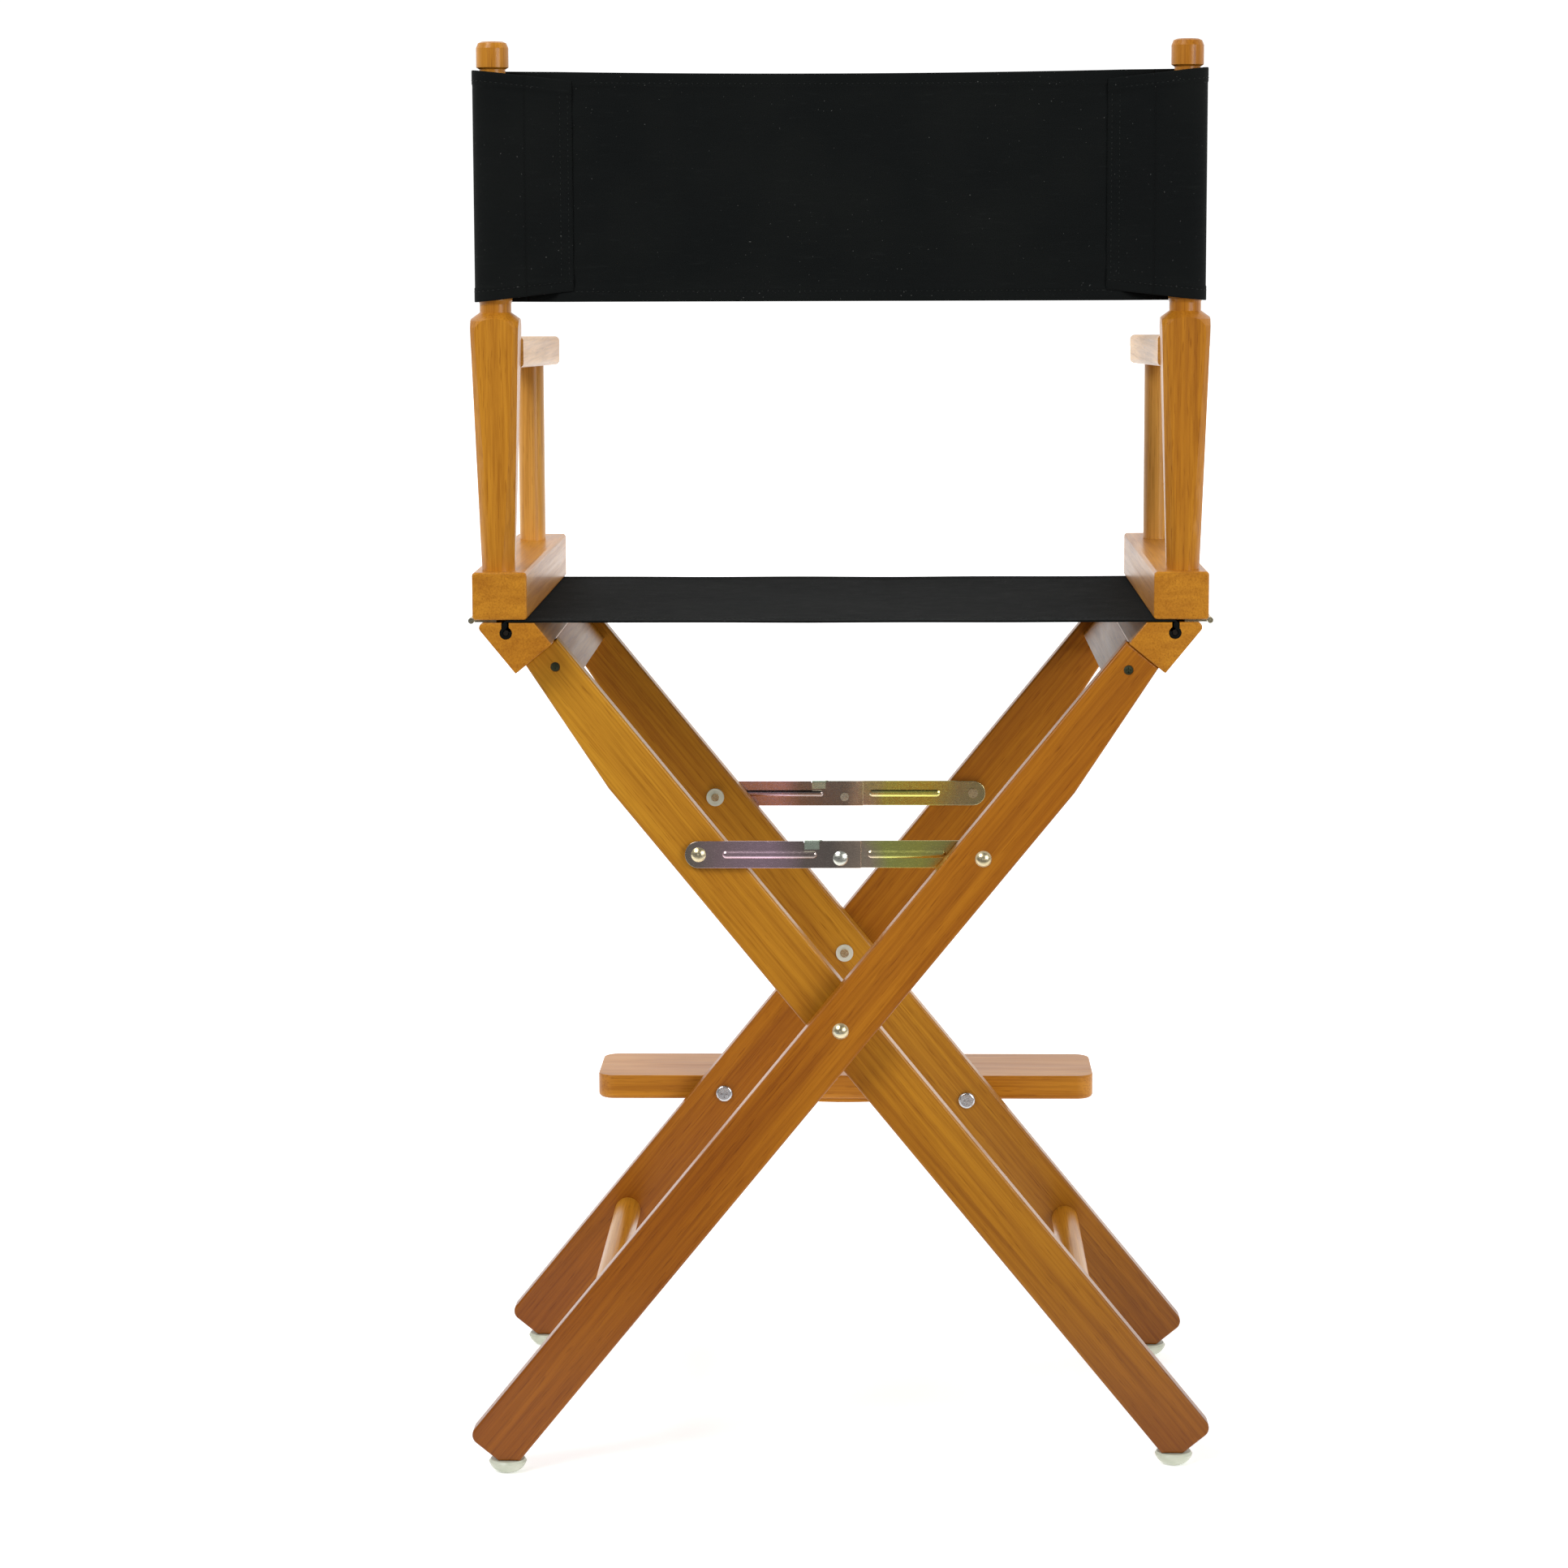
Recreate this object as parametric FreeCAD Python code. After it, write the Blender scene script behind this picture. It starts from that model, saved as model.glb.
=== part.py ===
import FreeCAD, Part
import math
import os

# A folding director chair with a hinged footrest.  Millimetres, +Z up, floor at z = 0.
# The chair faces -Y.  Leg frame "a" is the outer one and carries its seat rail at -X; frame "b" is the
# inner one and carries its seat rail at +X.  Depths are first given about the middle of the seat rails
# and every piece is moved by DEPTH_SHIFT as it is written, so that the origin is the centre of the base.

# ---- driving dimensions ----
DEPTH_SHIFT = 49.5
PIVOT_Z = 369.5
LEG_ANGLE = math.radians(50.8)
LEG_HALF_WIDTH = 22.75
LEG_TOP = 387.5
LEG_FOOT = -455.0
LEG_CUT_Z = 11.0
LEG_TAPER_START = 268.0
LEG_TAPER_HALF_WIDTH = 10.5
EASE = 2.0
DEPTHS = {"a": (181.0, 201.0), "b": (153.5, 173.5)}
SIDE_X = {"a": -1, "b": 1}

RAIL_HALF_DEPTH = 203.0
RAIL_TOP_Z = 699.8
KEYHOLE_X = 265.5
KEYHOLE_Z = 691.5
KEYHOLE_R = 5.0
SLOT_X = (263.0, 269.0)
TONGUE = (352.5, -14.0, 4.0)
LEG_SCREW = (371.0, -7.0)
LEG_SCREW_R = 2.0
LEG_SCREW_SUNK = 1.4

STRETCHER_S = -312.0
STRETCHER_R = 11.5
TENON_R = 8.0
TENON_DEPTH = 12.0

MAIN_SHANK_R = 3.8
TURNING_CLEARANCE = 0.08
SPACER_CLEARANCE = 0.3

BRACE_S = 181.0
BRACE_SHANK_R = 2.5
LINK_HEIGHT = 22.0
LINK_THICK = 1.6
LINK_EASE = 0.4
LINK_INNER_Y = {1: 174.2, -1: 175.2}
LINK_GAP = {1: 1.2, -1: 1.0}
LINK_OVERLAP = 16.5
LUG_SPAN = (17.0, 29.0)
LUG_RISE = 0.4
LUG_DROP = 6.5
LUG_CLEARANCE = 0.2
LIP_THICK = 1.2
RIVET_DOME = {1: 2.1, -1: 1.4}
RIVET_TAIL = {1: 0.3, -1: 0.9}
RIVET_DROP = 3.0
RIB_SPANS = {"a": (25.0, 82.0), "b": (22.0, 92.0)}
RIB_HALF = 3.0
RIB_HEIGHTS = {("a", 1): 0.9, ("b", 1): 1.2, ("a", -1): 0.8, ("b", -1): 1.2}

FOOTREST_S = -172.5
FOOTREST_BOLT_R = 3.0
FOOTREST_HALF_WIDTH = 225.0
FOOTREST_THICK = 22.0
FOOTREST_DEPTHS = (-305.5, -205.5)
FOOTREST_CORNER_R = 15.0
FOOTREST_TOP_EASE = 1.2
FOOTREST_BOTTOM_EASE = 4.0
FOOTREST_BELLY = (75.0, 3.5)
PEG_SLEEVE_R = 5.0
PEG_END_Y = -222.0
NOTCH_R = 6.0
NOTCH_SLANT = math.radians(26.5)

HINGE_X = 293.6
HINGE_Z = 700.9
KNUCKLE_R = 2.4
HINGE_PIN_R = 1.25
LEAF_INNER_X = 273.4
LEAF_THICK = 0.9
KNUCKLE_COUNT = 32
HINGE_HALF_DEPTH = 197.0

ARM_RAIL_X = (248.5, 292.0)
ARM_RAIL_Z = (702.0, 740.0)
POST_X = 272.5
BACK_POST_Y = 179.0
FRONT_POST_Y = -138.0
POST_HALF_WIDTH = 19.25
ARM_BOARD_X = (252.5, 292.5)
ARM_BOARD_Y = (-205.0, 160.2)
ARM_BOARD_THICK = 25.0
ARM_BOARD_BOTTOM_Z = (890.0, 900.0)
FRONT_POST_R = 11.25

CANVAS = 1.4
SEAT_CANVAS_Z = 700.2
BACK_CANVAS_Z = (952.5, 1131.0)
SLEEVE_R = 16.3
STITCH_X = 217.0
PANEL_Y = 177.0
SEAT_ROD_R = 2.5

# The outer leg frame's hardware sits outside its legs, so these two signs give rear (+Y) and front (-Y).
REAR_AND_FRONT = (1, -1)


# ---- helpers ----
def save(name, shape):
    placed = shape.copy()
    placed.translate(FreeCAD.Vector(0, DEPTH_SHIFT, 0))
    placed.exportStep("parts/" + name + ".step")


def leg_point(side, along, across):
    """X and Z of a point given along a leg from the pivot and across it, outer side positive."""
    c = math.cos(LEG_ANGLE)
    s = math.sin(LEG_ANGLE)
    return SIDE_X[side] * (along * c + across * s), PIVOT_Z + along * s - across * c


def prism_y(points, y0, y1):
    """A solid whose outline in X and Z runs from y0 to y1."""
    corners = [FreeCAD.Vector(x, y0, z) for x, z in points]
    face = Part.Face(Part.makePolygon(corners + corners[:1]))
    return face.extrude(FreeCAD.Vector(0, y1 - y0, 0))


def box(x0, x1, y0, y1, z0, z1):
    return Part.makeBox(x1 - x0, y1 - y0, z1 - z0, FreeCAD.Vector(x0, y0, z0))


def rod_y(x, z, radius, y0, y1):
    """A round bar along Y between two depths given in either order."""
    low, high = sorted((y0, y1))
    return Part.makeCylinder(radius, high - low, FreeCAD.Vector(x, low, z), FreeCAD.Vector(0, 1, 0))


def rod_z(x, y, radius, z0, z1):
    return Part.makeCylinder(radius, z1 - z0, FreeCAD.Vector(x, y, z0))


def ring_y(x, z, outer, inner, y0, y1):
    return rod_y(x, z, outer, y0, y1).cut(rod_y(x, z, inner, y0, y1))


def dome_y(x, z, radius, height, y_base, facing):
    """A low dome on a plane of constant Y, bulging towards facing (+1 or -1)."""
    ball_radius = radius * radius / (2 * height) + height / 2
    middle = math.asin(radius / ball_radius) / 2
    centre = FreeCAD.Vector(x, y_base + facing * (height - ball_radius), z)
    foot = FreeCAD.Vector(x, y_base, z)
    rim = FreeCAD.Vector(x + radius, y_base, z)
    top = FreeCAD.Vector(x, y_base + facing * height, z)
    side = FreeCAD.Vector(math.sin(middle) * ball_radius, facing * math.cos(middle) * ball_radius, 0)
    crown = Part.Arc(rim, centre + side, top).toShape()
    face = Part.Face(Part.Wire([Part.makeLine(foot, rim), crown, Part.makeLine(top, foot)]))
    return face.revolve(foot, FreeCAD.Vector(0, 1, 0), 360)


def edges_where(shape, test):
    """The straight and curved edges whose end points all pass the test."""
    return [edge for edge in shape.Edges if all(test(vertex.Point) for vertex in edge.Vertexes)]


def along_y(edge):
    points = [vertex.Point for vertex in edge.Vertexes]
    return len(points) == 2 and abs(points[0].y - points[1].y) > 1.0


def with_eased_rim(shape, y_values, radius):
    """Rounds the edges that lie in the given planes of constant Y."""
    rim = [
        edge
        for edge in shape.Edges
        if any(all(abs(vertex.Point.y - y) < 0.01 for vertex in edge.Vertexes) for y in y_values)
    ]
    return shape.makeFillet(radius, rim)


def cross_recess(x, z, y_face, facing, span):
    """The cutter for a cross drive sunk 1.2 mm into a head whose face is at y_face."""
    y_in = y_face - facing * 1.2
    low, high = sorted((y_in, y_face + facing * 0.5))
    upright = box(x - 0.5, x + 0.5, low, high, z - span, z + span)
    level = box(x - span, x + span, low, high, z - 0.5, z + 0.5)
    return upright.fuse(level)


# ---- leg frames ----
def leg_outline(side):
    c = math.cos(LEG_ANGLE)
    s = math.sin(LEG_ANGLE)
    cut_along_outer = (LEG_CUT_Z - PIVOT_Z + LEG_HALF_WIDTH * c) / s
    cut_across_end = (PIVOT_Z + LEG_FOOT * s - LEG_CUT_Z) / c
    outline = [
        (LEG_TOP, -LEG_HALF_WIDTH),
        (LEG_TOP, LEG_TAPER_HALF_WIDTH),
        (LEG_TAPER_START, LEG_HALF_WIDTH),
        (cut_along_outer, LEG_HALF_WIDTH),
        (LEG_FOOT, cut_across_end),
        (LEG_FOOT, -LEG_HALF_WIDTH),
    ]
    return [leg_point(side, along, across) for along, across in outline]


def leg_blank(side, y0, y1):
    blank = prism_y(leg_outline(side), y0, y1)
    heel_x, heel_z = leg_point(side, LEG_FOOT, -LEG_HALF_WIDTH)
    heel = edges_where(blank, lambda p: abs(p.x - heel_x) < 0.1 and abs(p.z - heel_z) < 0.1)
    blank = blank.makeFillet(8.5, heel)
    return with_eased_rim(blank, (y0, y1), EASE)


def glide_point(side):
    return -SIDE_X[side] * 273.5


def leg(side, facing):
    inner, outer = DEPTHS[side]
    y0, y1 = sorted((facing * inner, facing * outer))
    shape = leg_blank(side, y0, y1)
    clearance = 0.0 if side == "a" else TURNING_CLEARANCE
    x, z = leg_point(side, 0, 0)
    shape = shape.cut(rod_y(x, z, MAIN_SHANK_R + clearance, y0, y1))
    x, z = leg_point(side, BRACE_S, 0)
    shape = shape.cut(rod_y(x, z, BRACE_SHANK_R, y0, y1))
    x, z = leg_point(side, STRETCHER_S, 0)
    shape = shape.cut(rod_y(x, z, TENON_R, facing * inner, facing * (inner + TENON_DEPTH)))
    shape = shape.cut(leg_screw(side, facing, for_hole=True))
    shape = shape.cut(rod_z(glide_point(side), facing * (inner + outer) / 2, 2.5, 0, 25))
    if facing < 0:
        x, z = leg_point(side, FOOTREST_S, 0)
        shape = shape.cut(rod_y(x, z, FOOTREST_BOLT_R, y0, y1))
    return shape


def leg_screw(side, facing, for_hole=False):
    inner, outer = DEPTHS[side]
    x, z = leg_point(side, *LEG_SCREW)
    sunk = outer - LEG_SCREW_SUNK
    shank = rod_y(x, z, LEG_SCREW_R, facing * (inner - 18), facing * sunk)
    axis = FreeCAD.Vector(0, facing, 0)
    foot = FreeCAD.Vector(x, facing * (sunk - 2.2), z)
    head = Part.makeCone(LEG_SCREW_R, 3.75, 2.2, foot, axis)
    screw = shank.fuse(head)
    if for_hole:
        return screw.fuse(rod_y(x, z, 4.2, facing * sunk, facing * (outer + 1)))
    return screw.cut(cross_recess(x, z, facing * sunk, facing, 2.2))


def is_sharp_corner(edge, section):
    """True for the edges along Y at the seat rail's three sharp corners."""
    sharp = [section[0], section[1], section[3]]
    point = edge.Vertexes[0].Point
    return along_y(edge) and any(math.hypot(point.x - x, point.z - z) < 0.1 for x, z in sharp)


def seat_rail(side):
    top_inner = (RAIL_TOP_Z - PIVOT_Z - 20.5 * math.cos(LEG_ANGLE)) / math.sin(LEG_ANGLE)
    top_outer = (RAIL_TOP_Z - PIVOT_Z + 17.0 * math.cos(LEG_ANGLE)) / math.sin(LEG_ANGLE)
    section = [
        leg_point(side, LEG_TOP, -20.5),
        leg_point(side, LEG_TOP, 17.0),
        leg_point(side, top_outer, 17.0),
        leg_point(side, top_inner, -20.5),
    ]
    block = prism_y(section, -RAIL_HALF_DEPTH, RAIL_HALF_DEPTH)
    corner_x, corner_z = section[2]
    corner = edges_where(block, lambda p: abs(p.x - corner_x) < 0.1 and abs(p.z - corner_z) < 0.1)
    block = block.makeFillet(4.0, corner)
    block = block.makeFillet(1.0, [edge for edge in block.Edges if is_sharp_corner(edge, section)])
    block = with_eased_rim(block, (-RAIL_HALF_DEPTH, RAIL_HALF_DEPTH), 1.0)
    along, low, high = TONGUE
    inner = DEPTHS[side][0]
    tongue_section = [
        leg_point(side, along, low),
        leg_point(side, along, high),
        leg_point(side, LEG_TOP + 5, high),
        leg_point(side, LEG_TOP + 5, low),
    ]
    tongue = prism_y(tongue_section, -inner, inner)
    rail = block.fuse(tongue).removeSplitter()
    sign = SIDE_X[side]
    keyhole = rod_y(sign * KEYHOLE_X, KEYHOLE_Z, KEYHOLE_R, -210, 210)
    x0, x1 = sorted((sign * SLOT_X[0], sign * SLOT_X[1]))
    slot = box(x0, x1, -210, 210, KEYHOLE_Z, RAIL_TOP_Z + 1)
    rail = rail.cut(keyhole.fuse(slot))
    for facing in REAR_AND_FRONT:
        rail = rail.cut(leg_screw(side, facing, for_hole=True))
    return rail


def stretcher(side):
    inner = DEPTHS[side][0]
    x, z = leg_point(side, STRETCHER_S, 0)
    bar = rod_y(x, z, STRETCHER_R, -inner, inner)
    tenon = rod_y(x, z, TENON_R, -inner - TENON_DEPTH, inner + TENON_DEPTH)
    return bar.fuse(tenon).removeSplitter()


def glide(side, facing):
    """A mushroom foot with a flat bottom, turned about a vertical line."""
    start = FreeCAD.Vector(6.0, 0, 0)
    belly = Part.Arc(start, FreeCAD.Vector(12.2, 0, 3.4), FreeCAD.Vector(15.5, 0, 9.0)).toShape()
    brim = Part.makeLine(FreeCAD.Vector(15.5, 0, 9.0), FreeCAD.Vector(14.0, 0, LEG_CUT_Z))
    top = Part.makeLine(FreeCAD.Vector(14.0, 0, LEG_CUT_Z), FreeCAD.Vector(2.5, 0, LEG_CUT_Z))
    stem = Part.makeLine(FreeCAD.Vector(2.5, 0, LEG_CUT_Z), FreeCAD.Vector(2.5, 0, 25))
    tip = Part.makeLine(FreeCAD.Vector(2.5, 0, 25), FreeCAD.Vector(0, 0, 25))
    spine = Part.makeLine(FreeCAD.Vector(0, 0, 25), FreeCAD.Vector(0, 0, 0))
    base = Part.makeLine(FreeCAD.Vector(0, 0, 0), start)
    face = Part.Face(Part.Wire([base, belly, brim, top, stem, tip, spine]))
    turned = face.revolve(FreeCAD.Vector(0, 0, 0), FreeCAD.Vector(0, 0, 1), 360)
    inner, outer = DEPTHS[side]
    turned.translate(FreeCAD.Vector(glide_point(side), facing * (inner + outer) / 2, 0))
    return turned


# ---- main pivot ----
def pivot_bolt(facing):
    outer = DEPTHS["a"][1]
    inner = DEPTHS["b"][0]
    head = dome_y(0, PIVOT_Z, 6.7, 3.5, facing * outer, facing)
    shank = rod_y(0, PIVOT_Z, MAIN_SHANK_R, facing * (inner - 3.2), facing * outer)
    return head.fuse(shank)


def pivot_spacer(facing):
    far = DEPTHS["a"][0]
    near = DEPTHS["b"][1] + SPACER_CLEARANCE
    return ring_y(0, PIVOT_Z, 11.0, MAIN_SHANK_R, facing * near, facing * far)


def pivot_washer(facing):
    inner = DEPTHS["b"][0] - SPACER_CLEARANCE
    return ring_y(0, PIVOT_Z, 7.7, MAIN_SHANK_R, facing * (inner - 1.4), facing * inner)


# ---- folding braces ----
def is_outer_link(side, facing):
    """A link of frame b is the outer one of its pair at the rear, and a link of frame a at the front."""
    return (side == "b") == (facing > 0)


def link_depths(side, facing):
    """From the link's inner face to its outer one."""
    start = LINK_INNER_Y[facing] + (LINK_THICK + LINK_GAP[facing] if is_outer_link(side, facing) else 0)
    return facing * start, facing * (start + LINK_THICK)


def link_rib(side, facing):
    """The rounded rib that stiffens a link: a slot-shaped swelling on the link's rear face."""
    rear_face = max(link_depths(side, facing))
    height = RIB_HEIGHTS[side, facing]
    radius = (RIB_HALF**2 + height**2) / (2 * height)
    near, far = RIB_SPANS[side]
    low, high = sorted((SIDE_X[side] * near, SIDE_X[side] * far))
    z = leg_point(side, BRACE_S, 0)[1]
    centre_y = rear_face + height - radius
    start = FreeCAD.Vector(low, centre_y, z)
    swelling = Part.makeCylinder(radius, high - low, start, FreeCAD.Vector(1, 0, 0))
    ends = [Part.makeSphere(radius, FreeCAD.Vector(x, centre_y, z)) for x in (low, high)]
    slot = box(low, high, rear_face, rear_face + height, z - RIB_HALF, z + RIB_HALF)
    slot = slot.fuse([rod_y(x, z, RIB_HALF, rear_face, rear_face + height) for x in (low, high)])
    return swelling.fuse(ends).common(slot)


def brace_link(side, facing):
    y0, y1 = sorted(link_depths(side, facing))
    sign = SIDE_X[side]
    pivot_x, pivot_z = leg_point(side, BRACE_S, 0)
    half = LINK_HEIGHT / 2
    low, high = sorted((pivot_x, -sign * LINK_OVERLAP))
    bar = box(low, high, y0, y1, pivot_z - half, pivot_z + half)
    plate = bar.fuse(rod_y(pivot_x, pivot_z, half, y0, y1)).removeSplitter()
    link = with_eased_rim(plate, (y0, y1), LINK_EASE).fuse(link_rib(side, facing))
    if side == "a":
        link = link.fuse(stop_lug(facing, pivot_z + half))
    else:
        link = link.cut(lug_seat(pivot_z + half, y0, y1))
    link = link.cut(rod_y(pivot_x, pivot_z, BRACE_SHANK_R + TURNING_CLEARANCE, y0, y1))
    return link.cut(rod_y(0, pivot_z - RIVET_DROP, BRACE_SHANK_R, y0, y1))


def stop_lug(facing, top_z):
    """The tab on link a that hooks over link b's top edge, to the rear, and stops it past its centre."""
    near, far = LUG_SPAN
    a_front, a_rear = sorted(link_depths("a", facing))
    b_rear = max(link_depths("b", facing))
    lip_front = b_rear + LUG_CLEARANCE
    lip_rear = lip_front + LIP_THICK
    crest = top_z + LUG_RISE
    web = box(LINK_OVERLAP - 2, far, a_front, a_rear, top_z - 9, crest)
    roof = box(near, far, a_front, lip_rear, crest - LINK_THICK, crest)
    lip = box(near, far, lip_front, lip_rear, top_z - LUG_DROP, crest)
    lug = web.fuse([roof, lip]).removeSplitter()
    bend = edges_where(lug, lambda p: abs(p.y - lip_rear) < 0.01 and abs(p.z - crest) < 0.01)
    return lug.makeFillet(1.0, bend)


def lug_seat(top_z, y0, y1):
    """The cutter for the shallow step in link b's top edge that the lug rests in."""
    near, far = LUG_SPAN
    return box(near - 0.6, far + 0.6, y0, y1, top_z + LUG_RISE - LINK_THICK - LUG_CLEARANCE, top_z + 1)


def rivet_half(side, facing):
    """The half of the centre rivet that stays with one link."""
    pivot_z = leg_point(side, BRACE_S, 0)[1]
    z = pivot_z - RIVET_DROP
    y0, y1 = link_depths(side, facing)
    shank = rod_y(0, z, BRACE_SHANK_R, y0, y1)
    if is_outer_link(side, facing):
        return shank.fuse(dome_y(0, z, 6.0, RIVET_DOME[facing], y1, facing))
    return shank.fuse(rod_y(0, z, 3.8, y0, y0 - facing * RIVET_TAIL[facing]))


def brace_bolt(side, facing):
    """Holds a link on its leg; its head is on the outer leg's face or on the inner leg's link."""
    x, z = leg_point(side, BRACE_S, 0)
    y0, y1 = link_depths(side, facing)
    inner, outer = DEPTHS[side]
    if side == "a":
        head = dome_y(x, z, 6.7, 3.5, facing * outer, facing)
        shank = rod_y(x, z, BRACE_SHANK_R, y0 - facing * 0.3, facing * outer)
        tail = rod_y(x, z, 4.3, y0 - facing * 0.9, y0 - facing * 0.3)
    else:
        head = dome_y(x, z, 6.0, 2.4, y1 + facing * 0.2, facing)
        shank = rod_y(x, z, BRACE_SHANK_R, facing * (inner - 4.5), y1 + facing * 0.2)
        tail = rod_y(x, z, 3.4, facing * (inner - 4.9), facing * (inner - 3.4))
    return head.fuse([shank, tail]).removeSplitter()


def brace_spacer(side, facing):
    x, z = leg_point(side, BRACE_S, 0)
    y0, y1 = link_depths(side, facing)
    inner, outer = DEPTHS[side]
    if side == "a":
        return ring_y(x, z, 5.0, BRACE_SHANK_R, y1 + facing * 0.2, facing * inner)
    return ring_y(x, z, 5.0, BRACE_SHANK_R, facing * outer, y0 - facing * 0.2)


def brace_nut(facing):
    x, z = leg_point("b", BRACE_S, 0)
    inner = DEPTHS["b"][0]
    return ring_y(x, z, 7.8, BRACE_SHANK_R, facing * inner, facing * (inner - 3.4))


# ---- footrest ----
def footrest_board():
    y0, y1 = FOOTREST_DEPTHS
    half = FOOTREST_THICK / 2
    bolt_x, bolt_z = leg_point("a", FOOTREST_S, 0)
    board = box(-FOOTREST_HALF_WIDTH, FOOTREST_HALF_WIDTH, y0, y1, bolt_z - half, bolt_z + half)
    upright = [edge for edge in board.Edges if abs(edge.Length - FOOTREST_THICK) < 0.01]
    board = board.makeFillet(FOOTREST_CORNER_R, upright)
    for z, radius in ((bolt_z + half, FOOTREST_TOP_EASE), (bolt_z - half, FOOTREST_BOTTOM_EASE)):
        board = board.makeFillet(radius, edges_where(board, lambda p: abs(p.z - z) < 0.01))
    hole = rod_y(bolt_x, bolt_z, FOOTREST_BOLT_R + TURNING_CLEARANCE, -246, y1)
    peg_x, peg_z = leg_point("b", FOOTREST_S, 0)
    bottom = FreeCAD.Vector(math.sin(NOTCH_SLANT) * 30, 0, -math.cos(NOTCH_SLANT) * 30)
    across = FreeCAD.Vector(math.cos(NOTCH_SLANT) * NOTCH_R, 0, math.sin(NOTCH_SLANT) * NOTCH_R)
    centre = FreeCAD.Vector(peg_x, 0, peg_z)
    corners = [centre - across, centre + across, centre + across + bottom, centre - across + bottom]
    channel = prism_y([(p.x, p.z) for p in corners], -225.0, y1)
    notch = channel.fuse(rod_y(peg_x, peg_z, NOTCH_R, -225.0, y1))
    return board.fuse(footrest_belly(bolt_z - half)).cut(hole).cut(notch)


def footrest_belly(bottom_z):
    """The shallow curve on the underside between the legs."""
    half_chord, drop = FOOTREST_BELLY
    y0, y1 = FOOTREST_DEPTHS
    start = y0 + FOOTREST_BOTTOM_EASE
    end = y1 - FOOTREST_BOTTOM_EASE
    ends = [FreeCAD.Vector(x, start, bottom_z + 1) for x in (-half_chord, half_chord)]
    curve = Part.Arc(ends[0], FreeCAD.Vector(0, start, bottom_z - drop), ends[1]).toShape()
    face = Part.Face(Part.Wire([curve, Part.makeLine(ends[1], ends[0])]))
    return face.extrude(FreeCAD.Vector(0, end - start, 0))


def pan_bolt(side, head_y, end_y):
    """A cross-head bolt with its head on a leg's rear face, running forward to end_y."""
    x, z = leg_point(side, FOOTREST_S, 0)
    head = rod_y(x, z, 7.5, head_y, head_y + 3.5)
    rim = [edge for edge in head.Edges if all(v.Point.y > head_y + 3 for v in edge.Vertexes)]
    head = head.makeFillet(2.0, rim[:1])
    head = head.cut(cross_recess(x, z, head_y + 3.5, 1, 3.4))
    return head.fuse(rod_y(x, z, FOOTREST_BOLT_R, end_y, head_y))


def footrest_spacer():
    x, z = leg_point("a", FOOTREST_S, 0)
    return ring_y(x, z, 7.0, FOOTREST_BOLT_R, FOOTREST_DEPTHS[1] + SPACER_CLEARANCE, -DEPTHS["a"][1])


def peg_sleeve():
    x, z = leg_point("b", FOOTREST_S, 0)
    return ring_y(x, z, PEG_SLEEVE_R, FOOTREST_BOLT_R, PEG_END_Y, -DEPTHS["b"][1])


# ---- strip hinges ----
def hinge_leaf(side, upper):
    sign = SIDE_X[side]
    z0 = HINGE_Z + 0.2 if upper else HINGE_Z - 0.2 - LEAF_THICK
    edge_x = HINGE_X - KNUCKLE_R - 0.3
    x0, x1 = sorted((sign * LEAF_INNER_X, sign * edge_x))
    leaf = box(x0, x1, -HINGE_HALF_DEPTH, HINGE_HALF_DEPTH, z0, z0 + LEAF_THICK)
    pitch = 2 * HINGE_HALF_DEPTH / KNUCKLE_COUNT
    knuckles = []
    for index in range(1 if upper else 0, KNUCKLE_COUNT, 2):
        y0 = -HINGE_HALF_DEPTH + index * pitch + 0.15
        y1 = y0 + pitch - 0.3
        f0, f1 = sorted((sign * (edge_x - 0.1), sign * HINGE_X))
        knuckles.append(box(f0, f1, y0, y1, z0, z0 + LEAF_THICK))
        knuckles.append(rod_y(sign * HINGE_X, HINGE_Z, KNUCKLE_R, y0, y1))
    leaf = leaf.fuse(knuckles).removeSplitter()
    bore = rod_y(sign * HINGE_X, HINGE_Z, HINGE_PIN_R + 0.05, -210, 210)
    leaf = leaf.cut(bore)
    for y in hinge_screw_depths():
        leaf = leaf.cut(rod_z(sign * 282.0, y, 1.6, z0 - 1, z0 + 2))
    return leaf


def hinge_screw_depths():
    return [-180.0 + 60.0 * index for index in range(7)]


def hinge_screws(side, upper):
    """Plain pins from the leaf into the rail, set flush in the leaf, in place of flat-head screws."""
    sign = SIDE_X[side]
    solids = []
    for y in hinge_screw_depths():
        z_leaf = HINGE_Z + 0.2 if upper else HINGE_Z - 0.2
        z0, z1 = sorted((z_leaf, z_leaf + (14 if upper else -14)))
        solids.append(rod_z(sign * 282.0, y, 1.6, z0, z1))
    return Part.makeCompound(solids)


# ---- arm assemblies ----
def eased_box(x0, x1, y0, y1, z0, z1, long_radius, end_radius):
    bar = box(x0, x1, y0, y1, z0, z1)
    bar = bar.makeFillet(long_radius, [edge for edge in bar.Edges if along_y(edge)])
    return with_eased_rim(bar, (y0, y1), end_radius)


def arm_rail(sign):
    x0, x1 = sorted((sign * ARM_RAIL_X[0], sign * ARM_RAIL_X[1]))
    rail = eased_box(x0, x1, -RAIL_HALF_DEPTH, RAIL_HALF_DEPTH, *ARM_RAIL_Z, 2.8, 1.5)
    for y in (BACK_POST_Y, FRONT_POST_Y):
        rail = rail.cut(rod_z(sign * POST_X, y, TENON_R, 715, 745))
    side = "a" if sign < 0 else "b"
    return rail.cut(hinge_screws(side, True))


def tapered_square(z0, half0, z1, half1):
    """A square bar on the vertical axis whose half width changes evenly between two heights."""
    outlines = []
    for z, half in ((z0, half0), (z1, half1)):
        corners = [(-half, -half), (half, -half), (half, half), (-half, half), (-half, -half)]
        outlines.append(Part.makePolygon([FreeCAD.Vector(x, y, z) for x, y in corners]))
    return Part.makeLoft(outlines, True, True)


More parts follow.
